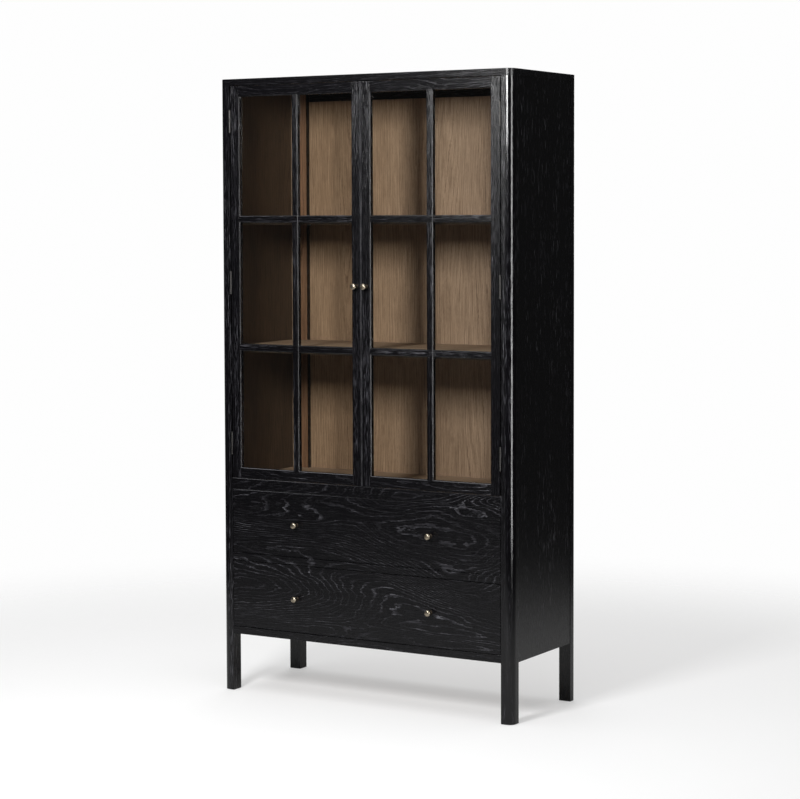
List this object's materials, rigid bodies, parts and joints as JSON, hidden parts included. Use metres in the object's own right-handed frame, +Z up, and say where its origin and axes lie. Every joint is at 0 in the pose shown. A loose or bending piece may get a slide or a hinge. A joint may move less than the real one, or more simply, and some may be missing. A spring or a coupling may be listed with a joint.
{
  "type": "glazed apothecary cabinet",
  "caption": "Tall free-standing oak cabinet on legs, with hinged glazed doors over shelves and full-width sliding drawers below.",
  "frame": {"origin": "on the floor, at the middle of the outline with the knobs included", "axes": "+Z up, +X to the right seen from the front, front with doors and drawers towards -Y"},
  "size_m": [1.15, 0.488, 2.135],
  "materials": {
    "black_oak": "black brushed oak, grain filled lighter, satin",
    "brown_oak": "plain oiled oak",
    "clear_glass": "clear",
    "aged_pewter": "aged, satin",
    "hinge_steel": "satin",
    "slide_steel": "zinc plated",
    "dark_plastic": "matt"
  },
  "bodies": {
    "case": {"top_slab": "black_oak", "post_front_left": "black_oak", "post_front_right": "black_oak", "post_rear_left": "black_oak", "post_rear_right": "black_oak", "side_panel_left": "black_oak", "side_panel_right": "black_oak", "back_panel_upper": "brown_oak", "back_panel_lower": "brown_oak", "rear_rails": "black_oak", "front_rail_middle": "black_oak", "front_rail_divider": "black_oak", "front_rail_bottom": "black_oak", "compartment_floor": "brown_oak", "case_bottom": "brown_oak", "shelf_upper": "brown_oak", "shelf_lower": "brown_oak", "shelf_pins": "slide_steel", "hinge_frame_leaves": "hinge_steel", "hinge_pins": "hinge_steel", "carcass_screws": "slide_steel", "magnet_catches": "dark_plastic", "slide_case_members": "slide_steel", "floor_glides": "dark_plastic"},
    "door_left": {"door_left_hinge_stile": "black_oak", "door_left_meeting_stile": "black_oak", "door_left_rails": "black_oak", "door_left_muntins": "black_oak", "door_left_glass": "clear_glass", "door_left_glazing_beads": "black_oak", "door_left_knob": "aged_pewter", "door_left_hinge_leaves": "hinge_steel", "door_left_screws": "slide_steel", "door_left_strike_plates": "slide_steel"},
    "door_right": {"door_right_hinge_stile": "black_oak", "door_right_meeting_stile": "black_oak", "door_right_rails": "black_oak", "door_right_muntins": "black_oak", "door_right_glass": "clear_glass", "door_right_glazing_beads": "black_oak", "door_right_knob": "aged_pewter", "door_right_hinge_leaves": "hinge_steel", "door_right_screws": "slide_steel", "door_right_strike_plates": "slide_steel"},
    "drawer_upper": {"drawer_upper_front": "black_oak", "drawer_upper_sides": "brown_oak", "drawer_upper_back": "brown_oak", "drawer_upper_bottom": "brown_oak", "drawer_upper_knobs": "aged_pewter", "drawer_upper_screws": "slide_steel", "drawer_upper_slide_members": "slide_steel"},
    "drawer_lower": {"drawer_lower_front": "black_oak", "drawer_lower_sides": "brown_oak", "drawer_lower_back": "brown_oak", "drawer_lower_bottom": "brown_oak", "drawer_lower_knobs": "aged_pewter", "drawer_lower_screws": "slide_steel", "drawer_lower_slide_members": "slide_steel"},
    "slide_upper_middle": {"slide_upper_middle_members": "slide_steel"},
    "slide_lower_middle": {"slide_lower_middle_members": "slide_steel"}
  },
  "joints": [
    {"name": "door_left_swing", "type": "hinge", "parent": "case", "child": "door_left", "pos_m": [-0.531, -0.2218, 1.431], "axis": [0, 0, -1], "range_deg": [0, 170]},
    {"name": "door_right_swing", "type": "hinge", "parent": "case", "child": "door_right", "pos_m": [0.531, -0.2218, 1.431], "axis": [0, 0, 1], "range_deg": [0, 170]},
    {"name": "drawer_upper_travel", "type": "slide", "parent": "case", "child": "drawer_upper", "axis": [0, -1, 0], "range_m": [0, 0.35]},
    {"name": "drawer_lower_travel", "type": "slide", "parent": "case", "child": "drawer_lower", "axis": [0, -1, 0], "range_m": [0, 0.35]},
    {"name": "slide_upper_middle_travel", "type": "slide", "parent": "case", "child": "slide_upper_middle", "axis": [0, -1, 0], "range_m": [0, 0.175]},
    {"name": "slide_lower_middle_travel", "type": "slide", "parent": "case", "child": "slide_lower_middle", "axis": [0, -1, 0], "range_m": [0, 0.175]}
  ],
  "couplings": [
    {"joint": "slide_upper_middle_travel", "follows": "drawer_upper_travel", "ratio": 0.5},
    {"joint": "slide_lower_middle_travel", "follows": "drawer_lower_travel", "ratio": 0.5}
  ]
}
